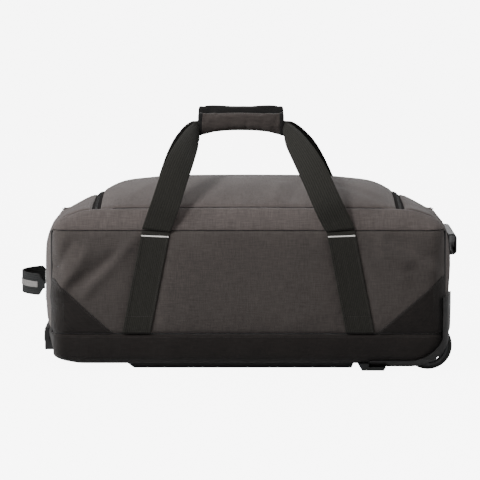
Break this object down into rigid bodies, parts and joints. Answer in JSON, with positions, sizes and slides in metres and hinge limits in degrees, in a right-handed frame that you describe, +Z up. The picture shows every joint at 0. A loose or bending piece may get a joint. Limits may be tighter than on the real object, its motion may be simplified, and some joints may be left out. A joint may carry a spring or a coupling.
{
  "type": "rolling duffel bag",
  "caption": "Soft wheeled duffel bag with a zipped lid flap, wrapped carry handles, a webbing end handle, corner wheels and a telescopic pull handle stowed in the base.",
  "frame": {"origin": "on the floor, under the middle of the whole bag's bounding box", "axes": "+Z up, +X along the bag towards the wheels, -Y out of the front panel, which is the side that the lid is hinged on"},
  "size_m": [0.733, 0.3458, 0.43],
  "materials": {
    "shell_fabric": "matte",
    "panel_fabric": "matte",
    "band_fabric": "matte",
    "lining_fabric": "matte",
    "webbing": "matte",
    "grip_fabric": "matte",
    "grip_fabric_black": "matte",
    "loop_webbing": "matte",
    "zip_tape": "matte",
    "zip_metal": "satin",
    "piping": "satin",
    "board_plastic": "matte",
    "black_plastic": "satin",
    "guard_plastic": "satin",
    "skid_plastic": "satin",
    "foot_plastic": "satin",
    "anchor_rubber": "matte",
    "tube_aluminium": "satin",
    "hub_plastic": "satin",
    "wheel_tyre": "matte",
    "bearing_steel": "satin",
    "axle_steel": "satin",
    "button_plastic": "satin"
  },
  "bodies": {
    "bag": {"upper_panel_front": "shell_fabric", "upper_panel_back": "shell_fabric", "top_border_left": "shell_fabric", "top_border_right": "shell_fabric", "end_panel_left": "shell_fabric", "end_panel_right": "shell_fabric", "front_panel": "panel_fabric", "back_panel": "panel_fabric", "bottom_panel": "band_fabric", "band_front": "band_fabric", "band_back": "band_fabric", "band_left": "band_fabric", "band_right": "band_fabric", "corner_patches": "band_fabric", "lining": "lining_fabric", "strap_tails_front": "webbing", "strap_tails_back": "webbing", "zip_tape_fixed": "zip_tape", "edge_piping": "piping", "base_board": "board_plastic", "foot_pads": "black_plastic", "trolley_bezel": "black_plastic", "trolley_end_bracket": "black_plastic", "tube_saddles": "black_plastic", "wheel_housing_near": "guard_plastic", "wheel_housing_far": "guard_plastic", "skid_cover": "skid_plastic", "stand_foot": "foot_plastic", "end_handle_anchors": "anchor_rubber", "trolley_outer_tubes": "tube_aluminium", "axles": "axle_steel", "skid_screws": "axle_steel"},
    "wheel_near": {"wheel_tyre_near": "wheel_tyre", "wheel_hub_near": "hub_plastic", "wheel_bearings_near": "bearing_steel"},
    "wheel_far": {"wheel_tyre_far": "wheel_tyre", "wheel_hub_far": "hub_plastic", "wheel_bearings_far": "bearing_steel"},
    "trolley_middle": {"trolley_middle_tubes": "tube_aluminium", "middle_tube_collars": "black_plastic"},
    "trolley_grip": {"trolley_inner_tubes": "tube_aluminium", "grip_base": "black_plastic", "grip_cover": "black_plastic", "button_springs": "bearing_steel"},
    "grip_button": {"grip_button": "button_plastic", "button_yoke": "black_plastic"},
    "lock_pin_near": {"lock_pin_near": "axle_steel"},
    "lock_pin_far": {"lock_pin_far": "axle_steel"},
    "lid": {"lid_panel": "shell_fabric", "lid_lining": "lining_fabric", "zip_tape_lid": "zip_tape"},
    "front_handle": {"handle_strap_front": "webbing", "handle_grip_front": "grip_fabric"},
    "back_handle": {"handle_strap_back": "webbing", "handle_grip_back": "grip_fabric_black"},
    "end_handle": {"end_handle_loop": "loop_webbing"},
    "zip_slider_left": {"zip_slider_left": "zip_metal"},
    "zip_slider_right": {"zip_slider_right": "zip_metal"},
    "zip_pull_left": {"zip_pull_left": "zip_metal"},
    "zip_pull_right": {"zip_pull_right": "zip_metal"}
  },
  "joints": [
    {"name": "wheel_near_spin", "type": "hinge", "parent": "bag", "child": "wheel_near", "pos_m": [0.315, -0.13, 0.04], "axis": [0, 1, 0], "continuous": true},
    {"name": "wheel_far_spin", "type": "hinge", "parent": "bag", "child": "wheel_far", "pos_m": [0.315, 0.13, 0.04], "axis": [0, 1, 0], "continuous": true},
    {"name": "trolley_stage_one", "type": "slide", "parent": "bag", "child": "trolley_middle", "axis": [-1, 0, 0], "range_m": [0, 0.24]},
    {"name": "trolley_stage_two", "type": "slide", "parent": "trolley_middle", "child": "trolley_grip", "axis": [-1, 0, 0], "range_m": [0, 0.24]},
    {"name": "grip_button_press", "type": "slide", "parent": "trolley_grip", "child": "grip_button", "axis": [1, 0, 0], "range_m": [0, 0.004], "stiffness_N_per_m": 900, "springref_m": -0.001},
    {"name": "lock_pin_near_retract", "type": "slide", "parent": "trolley_grip", "child": "lock_pin_near", "axis": [0, 1, 0], "range_m": [0, 0.002]},
    {"name": "lock_pin_far_retract", "type": "slide", "parent": "trolley_grip", "child": "lock_pin_far", "axis": [0, -1, 0], "range_m": [0, 0.002]},
    {"name": "lid_open", "type": "hinge", "parent": "bag", "child": "lid", "pos_m": [0.0175, -0.147, 0.272], "axis": [1, 0, 0], "range_deg": [0, 110]},
    {"name": "front_handle_swing", "type": "hinge", "parent": "bag", "child": "front_handle", "pos_m": [0.0175, -0.1694, 0.235], "axis": [1, 0, 0], "range_deg": [0, 165]},
    {"name": "back_handle_swing", "type": "hinge", "parent": "bag", "child": "back_handle", "pos_m": [0.0175, 0.1694, 0.235], "axis": [-1, 0, 0], "range_deg": [0, 165]},
    {"name": "end_handle_tilt", "type": "hinge", "parent": "bag", "child": "end_handle", "pos_m": [-0.3245, 0, 0.13], "axis": [0, 1, 0], "range_deg": [-30, 30]},
    {"name": "zip_slider_left_slide", "type": "slide", "parent": "bag", "child": "zip_slider_left", "axis": [-1, 0, 0], "range_m": [0, 0.225]},
    {"name": "zip_slider_right_slide", "type": "slide", "parent": "bag", "child": "zip_slider_right", "axis": [1, 0, 0], "range_m": [0, 0.225]},
    {"name": "zip_pull_left_flip", "type": "hinge", "parent": "zip_slider_left", "child": "zip_pull_left", "pos_m": [0.0115, 0.14557, 0.27824], "axis": [0, 0.914, -0.4058], "range_deg": [0, 165]},
    {"name": "zip_pull_right_flip", "type": "hinge", "parent": "zip_slider_right", "child": "zip_pull_right", "pos_m": [0.0235, 0.14557, 0.27824], "axis": [0, -0.914, 0.4058], "range_deg": [0, 165]}
  ],
  "couplings": [
    {"joint": "front_handle_swing", "follows": "lid_open", "ratio": 1.5},
    {"joint": "back_handle_swing", "follows": "lid_open", "ratio": 1.5},
    {"joint": "lock_pin_near_retract", "follows": "grip_button_press", "ratio": 0.5},
    {"joint": "lock_pin_far_retract", "follows": "grip_button_press", "ratio": 0.5}
  ]
}
